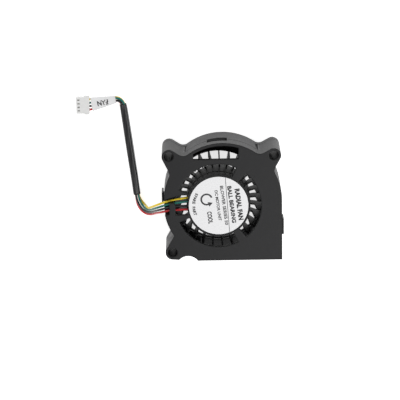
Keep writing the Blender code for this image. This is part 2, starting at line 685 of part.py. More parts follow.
def make_impeller():
    """The cap over the yoke, its ring of blades, and the ring that ties the blades' ends."""
    inner = magnet_radius + 2 * seat_gap + yoke_thickness
    outer = inner + cap_wall
    floor_top = cap_bottom + cap_floor
    rounding = 0.8 * mm
    impeller = turned([
        (0, floor_top), (inner, floor_top), (inner, cap_top), (outer, cap_top),
        (outer, cap_bottom + rounding), (outer - rounding, cap_bottom), (0, cap_bottom)], sides=58)
    root = outer - overlap
    blade = [(root, blade_bottom), (impeller_radius, blade_bottom), (impeller_radius, blade_top),
             (blade_step_outer, blade_top), (blade_step_inner, blade_low_top), (root, blade_low_top)]
    for index in range(blade_count):
        flat = prism([blade], -blade_thickness / 2, blade_thickness / 2)
        flat.data.transform(flat.matrix_world)
        flat.matrix_world = Matrix()
        stand_up = Matrix.Rotation(math.radians(90), 4, "X")
        lean = Matrix.Translation((outer, 0, 0)) @ Matrix.Rotation(math.radians(blade_lean), 4, "Z")
        lean = lean @ Matrix.Translation((-outer, 0, 0))
        around = Matrix.Rotation(math.tau * index / blade_count, 4, "Z")
        flat.data.transform(around @ lean @ stand_up)
        join(impeller, flat)
    join(impeller, ring(impeller_radius - tie_ring_width, impeller_radius - 0.05 * mm,
                        blade_bottom + 0.1 * mm, blade_bottom + tie_ring_height, sides=58))
    as_part(impeller, "impeller", "impeller_plastic")


# ---- Lead --------------------------------------------------------------------------------------

def tube(points, radius, capped=True):
    curve = bpy.data.curves.new("tube", "CURVE")
    curve.dimensions = "3D"
    curve.bevel_depth = radius
    curve.bevel_resolution = 2
    curve.use_fill_caps = capped
    spline = curve.splines.new("POLY")
    spline.points.add(len(points) - 1)
    for point, place_at in zip(spline.points, points):
        point.co = (*place_at, 1)
    return bpy.data.objects.new("tube", curve)


def smooth_stations(first=0, last=None):
    """Stations read from a smooth curve through the lead's own stations, in metres."""
    last = len(lead_stations) - 1 if last is None else last
    smooth = []
    for span in range(first, last):
        before = lead_stations[max(span - 1, 0)]
        start, end = lead_stations[span], lead_stations[span + 1]
        after = lead_stations[min(span + 2, len(lead_stations) - 1)]
        for sample in range(samples_per_span + (span == last - 1)):
            t = sample / samples_per_span
            smooth.append([
                0.5 * (2 * b + (c - a) * t + (2 * a - 5 * b + 4 * c - d) * t ** 2
                       + (3 * b - 3 * c + d - a) * t ** 3)
                for a, b, c, d in zip(before, start, end, after)])
    return [(Vector((s[0] * plan_scale, s[1] * plan_scale, s[2] * case_depth / 20)),
             max(s[3] * mm, bundle_spacing), s[4]) for s in smooth]


def lead_frame(stations, index):
    """The directions to the lead's left, which is level, and over it, at a station."""
    before = stations[max(index - 1, 0)][0]
    after = stations[min(index + 1, len(stations) - 1)][0]
    along = (after - before).normalized()
    left = Vector((-along.y, along.x, 0)).normalized()
    return left, along.cross(left)


def spread(spacing, closed):
    """How far aside the inner and outer wires lie, and how far they stand apart in height."""
    angle = math.radians(90) * closed
    inner = (spacing + (bundle_spacing - spacing) * closed) / 2
    return inner, inner + spacing * math.cos(angle), bundle_spacing / 2 * math.sin(angle)


def make_wires():
    """Four wires that lie in a row at each end and close into a square bundle between."""
    stations = smooth_stations()
    for index, colour in enumerate(wire_names):
        side = -1 if index < len(wire_names) / 2 else 1
        is_outer = index in (0, len(wire_names) - 1)
        points = []
        for number, (middle, spacing, closed) in enumerate(stations):
            inner, outer, rise = spread(spacing, closed)
            left, over = lead_frame(stations, number)
            aside = side * (outer if is_outer else inner)
            points.append(middle + left * aside + over * (-rise if is_outer else rise))
        as_part(tube(points, wire_diameter / 2), f"wire_{colour}", f"wire_{colour}")


def make_sleeve():
    route = [middle for middle, _, _ in smooth_stations(sleeve_first, sleeve_last)]
    sleeve = as_mesh(tube(route, sleeve_radius, capped=False))
    skin = sleeve.modifiers.new("wall", "SOLIDIFY")
    skin.thickness = sleeve_wall
    skin.offset = -1
    as_part(sleeve, "lead_sleeve", "sleeve_rubber")


def make_tag():
    """The folded tag, a flat sleeve that widens as the wires spread towards the plug."""
    stations = smooth_stations(tag_first, tag_last)
    around = 16
    shape = bmesh.new()
    loops = []
    for number, (middle, spacing, closed) in enumerate(stations):
        across, over = lead_frame(stations, number)
        inner, outer, rise = spread(spacing, closed)
        half_width = outer + wire_diameter / 2 + tag_clearance + tag_thickness
        half_height = rise + wire_diameter / 2 + tag_clearance + tag_thickness
        loop = []
        for step in range(around):
            angle = math.tau * step / around
            flat = math.copysign(abs(math.cos(angle)) ** 0.35, math.cos(angle))
            up = math.copysign(abs(math.sin(angle)) ** 0.35, math.sin(angle))
            loop.append(shape.verts.new(middle + across * flat * half_width + over * up * half_height))
        loops.append(loop)
    for near, far in zip(loops, loops[1:]):
        for step in range(around):
            following = (step + 1) % around
            shape.faces.new((near[step], near[following], far[following], far[step]))
    bmesh.ops.recalc_face_normals(shape, faces=shape.faces)
    tag = from_bmesh(shape)
    skin = tag.modifiers.new("film", "SOLIDIFY")
    skin.thickness = tag_thickness
    skin.offset = -1
    as_part(tag, "wire_tag", "tag_film")


def make_plug():
    """The plug's housing, with a cavity for each contact, and the contacts in it."""
    middle_height = lead_stations[-1][2] * case_depth / 20
    low, high = middle_height - plug_height / 2, middle_height + plug_height / 2
    housing = box((plug_front, plug_middle - plug_width / 2, low),
                  (plug_back, plug_middle + plug_width / 2, high))
    join(housing, box((plug_back - plug_shoulder_length, plug_middle - plug_shoulder_width / 2, low),
                      (plug_back, plug_middle + plug_shoulder_width / 2, high - 0.4 * mm)))
    hole_end = plug_back - wire_hole_depth
    for contact in range(contact_count):
        y = plug_middle + (contact - (contact_count - 1) / 2) * contact_pitch
        half_width, half_height = contact_width / 2 + seat_gap, contact_height / 2 + seat_gap
        cavity = box((plug_front - wall, y - half_width, middle_height - half_height),
                     (hole_end + overlap, y + half_width, middle_height + half_height))
        hole = turned([(0, 0), (wire_hole_radius, 0), (wire_hole_radius, -wire_hole_depth - wall),
                       (0, -wire_hole_depth - wall)], sides=20)
        hole.rotation_euler.y = math.radians(90)
        hole.location = (plug_back + wall, y, middle_height)
        window = box((plug_front + contact_window_start, y - contact_width / 2, middle_height),
                     (plug_front + contact_window_end, y + contact_width / 2, high + wall))
        cut(housing, cavity, hole, window)
        blade = box((plug_front + 0.5 * mm, y - contact_width / 2, middle_height - contact_height / 2),
                    (lead_stations[-1][0] * plan_scale - seat_gap, y + contact_width / 2,
                     middle_height + contact_height / 2))
        as_part(blade, f"terminal_{contact + 1}", "steel")
    as_part(housing, "connector_housing", "plug_nylon")


def make_label():
    bottom = hub_plate_top + seat_gap
    radius = hub_radius - hub_rim - 0.2 * mm
    as_part(cylinder(radius, bottom, bottom + label_thickness, sides=64), "hub_label", "label_film")


# ---- Build -------------------------------------------------------------------------------------

for old in list(bpy.data.objects):
    bpy.data.objects.remove(old)
parts = add_collection("radial_blower")
tools = add_collection("cutters")
rotor_axis = bpy.data.objects.new("rotor_axis", None)
rotor_axis.location = axis_place
parts.objects.link(rotor_axis)
add_materials()

make_front_housing()
make_rear_shell()
make_label()
make_stator()
make_board()
make_bearing("rear", rear_bearing_bottom)
make_bearing("front", front_bearing_bottom)
make_preload_spring()
make_shaft()
make_rotor_cup()
make_impeller()
make_wires()
make_sleeve()
make_tag()
make_plug()
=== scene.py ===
"""Looks for a small radial blower with a four-wire lead, built round its packed model.

Run as a script, it registers one operator for each group of pieces and calls them in order.
"""
import json
import math

import bmesh
import bpy
from mathutils import Matrix, Vector


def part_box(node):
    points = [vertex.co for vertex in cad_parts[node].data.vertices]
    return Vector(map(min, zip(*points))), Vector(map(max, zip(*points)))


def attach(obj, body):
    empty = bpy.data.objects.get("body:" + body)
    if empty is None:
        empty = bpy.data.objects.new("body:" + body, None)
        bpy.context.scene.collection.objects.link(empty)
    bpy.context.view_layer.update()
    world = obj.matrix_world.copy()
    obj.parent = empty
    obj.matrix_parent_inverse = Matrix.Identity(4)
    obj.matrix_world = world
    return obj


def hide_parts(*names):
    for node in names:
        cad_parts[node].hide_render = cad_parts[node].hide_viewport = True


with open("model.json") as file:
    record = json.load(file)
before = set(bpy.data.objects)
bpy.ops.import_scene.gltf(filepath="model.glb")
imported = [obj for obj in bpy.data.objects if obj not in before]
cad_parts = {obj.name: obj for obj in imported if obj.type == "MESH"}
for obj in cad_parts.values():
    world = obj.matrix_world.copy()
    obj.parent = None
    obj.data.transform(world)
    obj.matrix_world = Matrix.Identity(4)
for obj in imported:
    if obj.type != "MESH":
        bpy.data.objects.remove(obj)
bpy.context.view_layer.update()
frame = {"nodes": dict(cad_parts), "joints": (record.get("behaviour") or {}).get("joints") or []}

bl_info = {
    "name": "Radial Blower Studio",
    "version": (1, 0, 0),
    "blender": (4, 5, 0),
    "location": "View3D > Sidebar > Blower",
    "description": "Dresses a small radial blower and its lead with detail and procedural finishes",
    "category": "Object",
}

MM = 0.001
AXIS = Vector(frame["joints"][0]["pos_m"]) * Vector((1, 1, 0))
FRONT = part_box("front_housing")[1].z
WIRES = ("yellow", "green", "black", "red")
SLEEVE_RADIUS, SLEEVE_LOBE, SLEEVE_WALL = 1.58, 0.11, 0.25 * MM
TAG_FILM = 0.14 * MM
INK_THICKNESS, INK_GAP = 0.01 * MM, 0.004 * MM

# Stations along the lead's middle, in millimetres from the rotor's axis: x, y, z, the wires' spacing
# while they lie in a row, and how far they have closed from that row (0) into a square bundle (1).
LEAD_STATIONS = (
    (-10.4, 0.55, 17.55, 1.80, 0.00), (-13.0, 0.40, 17.50, 1.70, 0.00), (-16.0, 0.15, 17.40, 1.55, 0.00),
    (-19.0, -0.20, 17.35, 1.42, 0.00), (-21.8, -0.80, 17.35, 1.30, 0.00), (-24.3, -1.80, 16.40, 1.20, 0.00),
    (-26.3, -3.10, 13.60, 1.15, 0.00), (-27.7, -4.50, 10.20, 1.12, 0.05), (-29.3, -5.50, 7.10, 1.10, 0.12),
    (-31.1, -5.20, 4.40, 1.10, 0.30), (-32.7, -3.40, 2.80, 1.10, 0.55), (-33.5, -1.50, 2.00, 1.10, 0.85),
    (-33.95, 0.60, 1.75, 1.10, 1.00), (-34.8, 8.00, 1.70, 1.10, 1.00), (-35.7, 15.0, 1.70, 1.10, 1.00),
    (-36.7, 23.0, 1.70, 1.10, 1.00), (-37.7, 31.0, 1.70, 1.10, 1.00), (-38.4, 36.4, 1.70, 1.10, 1.00),
    (-38.86, 39.15, 1.70, 1.10, 1.00), (-39.45, 40.45, 1.70, 1.10, 1.00), (-40.60, 41.22, 1.70, 1.10, 0.95),
    (-41.80, 41.30, 1.70, 1.10, 0.85), (-44.5, 40.80, 1.70, 1.15, 0.60), (-48.0, 40.08, 1.70, 1.20, 0.25),
    (-51.9, 39.36, 1.70, 1.42, 0.00), (-53.6, 39.20, 1.70, 1.50, 0.00), (-55.0, 39.20, 1.70, 1.50, 0.00),
)
SLEEVE_STATIONS = (12, 18)
TAG_STATIONS = (21, 24)

# The label's lettering: words, length and height, where they stand, and how much bolder they are.
LABEL_WORDS = (
    ("RADIAL FAN", 13.4, 1.9, 8.3, 0.4, 0.14),
    ("BALL BEARING", 15.8, 1.6, 5.3, 0.4, 0.10),
    ("BLOWER SERIES 50", 16.8, 1.3, 2.2, 0.1, 0.05),
    ("DC MOTOR UNIT", 13.0, 1.2, -0.3, 0.1, 0.05),
    ("COOL", 5.2, 1.8, -3.7, -5.0, 0.10),
)
LABEL_ARC = "SPARE PART"


# ---- Shader maths ------------------------------------------------------------------------------

class Signal:
    """A number that varies over a surface. Expressions on signals add their own Math nodes."""

    def __init__(self, graph, socket):
        self.graph, self.socket = graph, socket

    def math(self, operation, *others):
        inputs = dict(enumerate((self, *others)))
        node = self.graph.add("ShaderNodeMath", {"operation": operation}, inputs)
        return Signal(self.graph, node.outputs[0])

    def __add__(self, other):
        return self.math("ADD", other)

    def __mul__(self, other):
        return self.math("MULTIPLY", other)

    def __sub__(self, other):
        return self.math("SUBTRACT", other)

    def __rsub__(self, other):
        return (self * -1) + other

    __radd__ = __add__
    __rmul__ = __mul__

    def between(self, low, high):
        """0 below low, 1 above high, and a smooth step from one to the other."""
        inputs = {"Value": self, "From Min": low, "From Max": high}
        node = self.graph.add("ShaderNodeMapRange", {"interpolation_type": "SMOOTHSTEP"}, inputs)
        return Signal(self.graph, node.outputs["Result"])


class Graph:
    """A tree of shader nodes."""

    def __init__(self, tree):
        self.tree = tree

    def add(self, kind, settings=None, inputs=None):
        """Add a node, with its settings made first and then the values or links of its sockets."""
        node = self.tree.nodes.new(kind)
        for name, value in (settings or {}).items():
            setattr(node, name, value)
        for name, value in (inputs or {}).items():
            self.feed(node.inputs[name], value)
        return node

    def feed(self, socket, value):
        source = value.socket if isinstance(value, Signal) else value
        if isinstance(source, bpy.types.NodeSocket):
            self.tree.links.new(source, socket)
        else:
            socket.default_value = source


class Finish(Graph):
    """A procedural material on one Principled shader."""

    def __init__(self, name, metallic=0.0, coat=0.0):
        self.material = bpy.data.materials.new(name)
        self.material.use_nodes = True
        super().__init__(self.material.node_tree)
        self.shader = self.tree.nodes["Principled BSDF"]
        self.shader.inputs["Metallic"].default_value = metallic
        self.shader.inputs["Coat Weight"].default_value = coat
        self.place = self.add("ShaderNodeTexCoord").outputs["Object"]

    def stretched(self, scale):
        """The object's own coordinates, scaled along each axis."""
        return self.add("ShaderNodeMapping", {}, {"Vector": self.place, "Scale": scale}).outputs[0]

    def noise(self, size, detail=3.0, roughness=0.55, along=None):
        """Noise with features of about this size, in metres, stretched where along is given."""
        scale = [share / size for share in (along or (1, 1, 1))]
        inputs = {"Vector": self.stretched(scale), "Scale": 1.0, "Detail": detail, "Roughness": roughness}
        return Signal(self, self.add("ShaderNodeTexNoise", {}, inputs).outputs[0])

    def cells(self, size):
        inputs = {"Vector": self.stretched([1 / size] * 3), "Scale": 1.0}
        return Signal(self, self.add("ShaderNodeTexVoronoi", {}, inputs).outputs["Distance"])

    def paint(self, mask, dark, light):
        """Base Color from the dark colour where the mask is 0 to the light one where it is 1."""
        inputs = {0: mask, 6: (*dark, 1), 7: (*light, 1)}
        mix = self.add("ShaderNodeMix", {"data_type": "RGBA"}, inputs)
        self.feed(self.shader.inputs["Base Color"], mix.outputs[2])

    def rough(self, signal):
        self.feed(self.shader.inputs["Roughness"], signal)

    def bump(self, height, depth, soft_edges=None):
        """Relief of a height that varies by up to the depth, over edges softened by soft_edges."""
        inputs = {"Height": height, "Distance": depth}
        if soft_edges:
            inputs["Normal"] = soft_edges
        node = self.add("ShaderNodeBump", {}, inputs)
        self.feed(self.shader.inputs["Normal"], node.outputs[0])

    def soften(self, radius):
        """Normals that turn smoothly over edges, and a signal that is 1 along those edges."""
        soft = self.add("ShaderNodeBevel", {"samples": 6}, {"Radius": radius}).outputs[0]
        true = self.add("ShaderNodeNewGeometry").outputs["Normal"]
        inputs = {0: soft, 1: true}
        agree = self.add("ShaderNodeVectorMath", {"operation": "DOT_PRODUCT"}, inputs).outputs["Value"]
        return soft, (1 - Signal(self, agree)).between(0.01, 0.22)


def tint(colour, factor):
    return tuple(min(1.0, channel * factor) for channel in colour)


def moulded_plastic(name, colour, roughness, grain, depth, spread=0.25, edge=0.3 * MM):
    """Spark-textured plastic: fine pits, a slow drift of tone, rubbed patches and worn edges."""
    finish = Finish(name)
    finish.shader.inputs["Specular IOR Level"].default_value = 0.3
    soft, rim = finish.soften(edge)
    pits = finish.noise(grain, detail=4.0, roughness=0.7)
    drift = finish.noise(9 * MM, detail=2.0)
    rub = finish.noise(2.5 * MM, detail=5.0, roughness=0.65).between(0.52, 0.72)
    # Painted highlight along the edges: they are lightened in the base colour, broken up by the rubbed
    # patches as wear, and made a little glossier.
    highlight_and_wear = rim * (rub * 0.6 + 0.4)
    finish.paint(drift * 0.5 + pits * 0.3 + highlight_and_wear * 0.9, tint(colour, 1 - spread), tint(colour, 1 + spread))
    finish.rough(pits * 0.16 + (roughness - 0.06) - rub * 0.06 - highlight_and_wear * 0.12)
    finish.bump(pits + finish.cells(grain * 1.7) * 0.5, depth, soft)
    return finish.material


def glossy_insulation(name, colour):
    """Extruded wire insulation: glossy, with faint draw lines and a little dust."""
    finish = Finish(name, coat=0.15)
    lines = finish.noise(0.5 * MM, detail=3.0)
    finish.paint(lines, tint(colour, 0.75), tint(colour, 1.2))
    finish.rough(lines * 0.25 + 0.25)
    finish.bump(finish.noise(0.25 * MM), 0.006 * MM)
    return finish.material


def turned_metal(name, colour, roughness=0.25):
    """Machined metal with fine rings from the lathe and slight stains."""
    finish = Finish(name, metallic=1.0)
    rings = finish.noise(0.12 * MM, along=(0.25, 0.25, 1.0), detail=2.0)
    stain = finish.noise(1.5 * MM)
    finish.paint(stain, tint(colour, 0.8), tint(colour, 1.1))
    finish.rough(rings * 0.2 + stain * 0.15 + (roughness - 0.12))
    finish.bump(rings, 0.004 * MM)
    return finish.material


# ---- Pieces ------------------------------------------------------------------------------------

def link(piece):
    bpy.context.scene.collection.objects.link(piece)
    return piece


def from_bmesh(shape, name):
    mesh = bpy.data.meshes.new(name)
    shape.to_mesh(mesh)
    shape.free()
    return link(bpy.data.objects.new(name, mesh))


def smooth(piece, angle=30):
    piece.data.shade_smooth()
    piece.data.set_sharp_from_angle(angle=math.radians(angle))
    return piece


def dress(piece, material, body="housing", stands_for=()):
    """Give a piece its finish and its slot, and let it ride on its body."""
    piece.data.materials.clear()
    piece.data.materials.append(material)
    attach(piece, body)
    if stands_for:
        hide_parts(*stands_for)
    return piece


def repaint(nodes, material):
    """Give CAD nodes that stay as they are a new finish."""
    for node in nodes:
        slots = frame["nodes"][node].data.materials
        slots.clear()
        slots.append(material)


def rounding(piece, width, segments=2, angle=35):
    edge = piece.modifiers.new("rounding", "BEVEL")
    edge.width = width
    edge.segments = segments
    edge.limit_method = "ANGLE"
    edge.angle_limit = math.radians(angle)
    edge.use_clamp_overlap = False
    edge.harden_normals = True
    return piece


def refined(node, name, width=None, segments=2):
    """A copy of a CAD node with its flat facets merged and, given a width, its edges rounded."""
    shape = bmesh.new()
    shape.from_mesh(frame["nodes"][node].data)
    bmesh.ops.remove_doubles(shape, verts=shape.verts, dist=1e-6)
    bmesh.ops.dissolve_limit(shape, angle_limit=math.radians(0.5), verts=shape.verts, edges=shape.edges)
    piece = smooth(from_bmesh(shape, name))
    return rounding(piece, width, segments) if width else piece


def lettering(shape, words, width, height, place, bold):
    """Add lettering of a given height to a shape, squeezed to a given width where there is one."""
    curve = bpy.data.curves.new("lettering", "FONT")
    curve.body = words
    curve.size = height * 1.4
    curve.offset = bold
    curve.align_x, curve.align_y = "CENTER", "CENTER"
    curve.fill_mode = "FRONT"
    curve.resolution_u = 3
    letters = link(bpy.data.objects.new("lettering", curve))
    bpy.context.view_layer.update()
    squeeze = width / letters.dimensions.x if width else 1.0
    mesh = bpy.data.meshes.new_from_object(letters.evaluated_get(bpy.context.evaluated_depsgraph_get()))
    mesh.transform(place @ Matrix.Diagonal((squeeze, 1, 1, 1)))
    shape.from_mesh(mesh)
    bpy.data.objects.remove(letters)


def printed(shape, name, height):
    """Thin ink from flat marks in millimetres from the rotor's axis, at a height."""
    bmesh.ops.recalc_face_normals(shape, faces=shape.faces)
    shape.transform(Matrix.Translation((AXIS.x, AXIS.y, height)) @ Matrix.Scale(MM, 4))
    piece = from_bmesh(shape, name)
    skin = piece.modifiers.new("ink", "SOLIDIFY")
    skin.thickness = INK_THICKNESS
    skin.offset = -1
    return piece


def black_ink(name, colour):
    """Printing ink, a little thin in places."""
    ink = Finish(name)
    highlight_and_wear = ink.noise(0.25 * MM, detail=4.0)
    ink.paint(highlight_and_wear, colour, tint(colour, 2.2))
    ink.rough(highlight_and_wear * 0.2 + 0.35)
    return ink.material


# ---- Settings ----------------------------------------------------------------------------------

class CameraSettings(bpy.types.PropertyGroup):
    """Where the camera stands and what it frames."""
    tilt: bpy.props.FloatProperty(name="Tilt", description="Lean from straight above, towards the window",
                                  default=math.radians(15.5), subtype="ANGLE")
    roll: bpy.props.FloatProperty(name="Roll", description="Turn of the camera about its own line of sight",
                                  default=math.radians(0.9), subtype="ANGLE")
    distance: bpy.props.FloatProperty(name="Distance", description="From the lens to the front face",
                                      default=0.8, unit="LENGTH")
    width: bpy.props.FloatProperty(name="Width", description="What the frame takes in at the front face",
                                   default=0.164, unit="LENGTH")
    aim: bpy.props.FloatVectorProperty(name="Aim", description="Middle of the frame, from the rotor's axis",
                                       default=(-0.0076, 0.00255), size=2, unit="LENGTH")


class LeadSettings(bpy.types.PropertyGroup):
    """Sizes and colours of the lead."""
    wire: bpy.props.FloatProperty(name="Wire", description="Diameter over the insulation",
                                  default=0.92 * MM, unit="LENGTH")
    spacing: bpy.props.FloatProperty(name="Bundle", description="Spacing in the bundle",
                                     default=1.05 * MM, unit="LENGTH")
    yellow: bpy.props.FloatVectorProperty(name="Yellow", description="Insulation colour", subtype="COLOR",
                                          default=(0.86, 0.62, 0.02))
    green: bpy.props.FloatVectorProperty(name="Green", description="Insulation colour", subtype="COLOR",
                                         default=(0.005, 0.16, 0.13))
    black: bpy.props.FloatVectorProperty(name="Black", description="Insulation colour", subtype="COLOR",
                                         default=(0.012, 0.012, 0.013))
    red: bpy.props.FloatVectorProperty(name="Red", description="Insulation colour", subtype="COLOR",
                                       default=(0.62, 0.025, 0.03))


class CaseSettings(bpy.types.PropertyGroup):
    """Finish of the moulded parts."""
    plastic: bpy.props.FloatVectorProperty(name="Plastic", description="Colour of the case",
                                           subtype="COLOR", default=(0.013, 0.013, 0.014))
    blades: bpy.props.FloatVectorProperty(name="Blades", description="Colour of the impeller",
                                          subtype="COLOR", default=(0.004, 0.004, 0.0045))
    rounding: bpy.props.FloatProperty(name="Rounding", description="How far the case's edges look rounded",
                                      default=0.65 * MM, unit="LENGTH")


class LabelSettings(bpy.types.PropertyGroup):
    """The hub's label."""
    paper: bpy.props.FloatVectorProperty(name="Film", description="Colour of the label", subtype="COLOR",
                                         default=(0.93, 0.93, 0.95))
    ink: bpy.props.FloatVectorProperty(name="Ink", description="Colour of its marks", subtype="COLOR",
                                       default=(0.015, 0.015, 0.017))


class StageSettings(bpy.types.PropertyGroup):
    """Floor and light."""
    floor: bpy.props.FloatVectorProperty(name="Floor", description="Colour of the floor", subtype="COLOR",
                                         default=(0.85, 0.85, 0.85))
    glow: bpy.props.FloatProperty(name="Glow", description="Light that the floor gives of its own",
                                  default=0.75)
    sky: bpy.props.FloatProperty(name="Surround", description="Brightness of the surround", default=0.62)
    key: bpy.props.FloatProperty(name="Key", description="Power of the softbox", default=2.3, unit="POWER")


SETTINGS = {
    "blower_camera": CameraSettings,
    "blower_lead": LeadSettings,
    "blower_case": CaseSettings,
    "blower_label": LabelSettings,
    "blower_stage": StageSettings,
}


# ---- Camera ------------------------------------------------------------------------------------

class BLOWER_OT_camera(bpy.types.Operator):
    """Stand the camera over the front face, leaning towards the back of the case"""
    bl_idname = "blower.camera"
    bl_label = "Camera"

    def execute(self, context):
        setup = context.scene.blower_camera
        lens = bpy.data.cameras.new("camera")
        lens.sensor_width = 36.0
        lens.lens = lens.sensor_width * setup.distance / setup.width
        lens.clip_start, lens.clip_end = 0.01, 10.0
        camera = link(bpy.data.objects.new("camera", lens))
        back = Vector((0, math.sin(setup.tilt), math.cos(setup.tilt)))
        up = Vector((0, math.cos(setup.tilt), -math.sin(setup.tilt)))
        turn = Matrix.Rotation(-setup.roll, 4, back)
        up = turn @ up
        right = up.cross(back)
        aim = AXIS + Vector((*setup.aim, FRONT))
        place = Matrix((right, up, back)).transposed().to_4x4()
        place.translation = aim + back * setup.distance
        camera.matrix_world = place
        context.scene.camera = camera
        return {"FINISHED"}


# ---- Lead --------------------------------------------------------------------------------------

def smooth_stations(first=0, last=len(LEAD_STATIONS) - 1, samples=4):
    """Stations read from a smooth curve through the lead's own stations, in metres."""
    smooth_route = []
    for span in range(first, last):
        before = LEAD_STATIONS[max(span - 1, 0)]
        start, end = LEAD_STATIONS[span], LEAD_STATIONS[span + 1]
        after = LEAD_STATIONS[min(span + 2, len(LEAD_STATIONS) - 1)]
        for sample in range(samples + (span == last - 1)):
            t = sample / samples
            smooth_route.append([
                0.5 * (2 * b + (c - a) * t + (2 * a - 5 * b + 4 * c - d) * t ** 2
                       + (3 * b - 3 * c + d - a) * t ** 3)
                for a, b, c, d in zip(before, start, end, after)])
    return [(Vector(s[:3]) * MM + AXIS, s[3] * MM, s[4]) for s in smooth_route]


def lead_frame(stations, index):
    """The directions to the lead's left, which is level, and over it, at a station."""
    before = stations[max(index - 1, 0)][0]
    after = stations[min(index + 1, len(stations) - 1)][0]
    along = (after - before).normalized()
    left = Vector((-along.y, along.x, 0)).normalized()
    return left, along.cross(left)


def spread(spacing, closed, bundle):
    """How far aside the inner and outer wires lie, and how far they stand apart in height."""
    angle = math.radians(90) * closed
    inner = (spacing + (bundle - spacing) * closed) / 2
    return inner, inner + spacing * math.cos(angle), bundle / 2 * math.sin(angle)


def eased(points, passes=6):
    """Points drawn towards their neighbours' middle, so that a wire inside a bend doesn't kink."""
    for _ in range(passes):
        middles = [(before + 2 * point + after) / 4
                   for before, point, after in zip(points, points[1:], points[2:])]
        points = [points[0], *middles, points[-1]]
    return points


def wire_route(index, bundle):
    stations = smooth_stations()
    side = -1 if index < len(WIRES) / 2 else 1
    is_outer = index in (0, len(WIRES) - 1)
    points = []
    for number, (middle, spacing, closed) in enumerate(stations):
        inner, outer, rise = spread(spacing, closed, bundle)
        left, over = lead_frame(stations, number)
        aside, height = (outer, -rise) if is_outer else (inner, rise)
        points.append(middle + left * side * aside + over * height)
    return eased(points)


def loft(name, loops, closed_ends=False):
    """A skin over loops of points, each loop with the same number of points."""
    shape = bmesh.new()
    rings = [[shape.verts.new(point) for point in loop] for loop in loops]
    for near, far in zip(rings, rings[1:]):
        for step in range(len(near)):
            following = (step + 1) % len(near)
            shape.faces.new((near[step], near[following], far[following], far[step]))
    if closed_ends:
        shape.faces.new(rings[0])
        shape.faces.new(rings[-1])
    bmesh.ops.recalc_face_normals(shape, faces=shape.faces)
    return from_bmesh(shape, name)


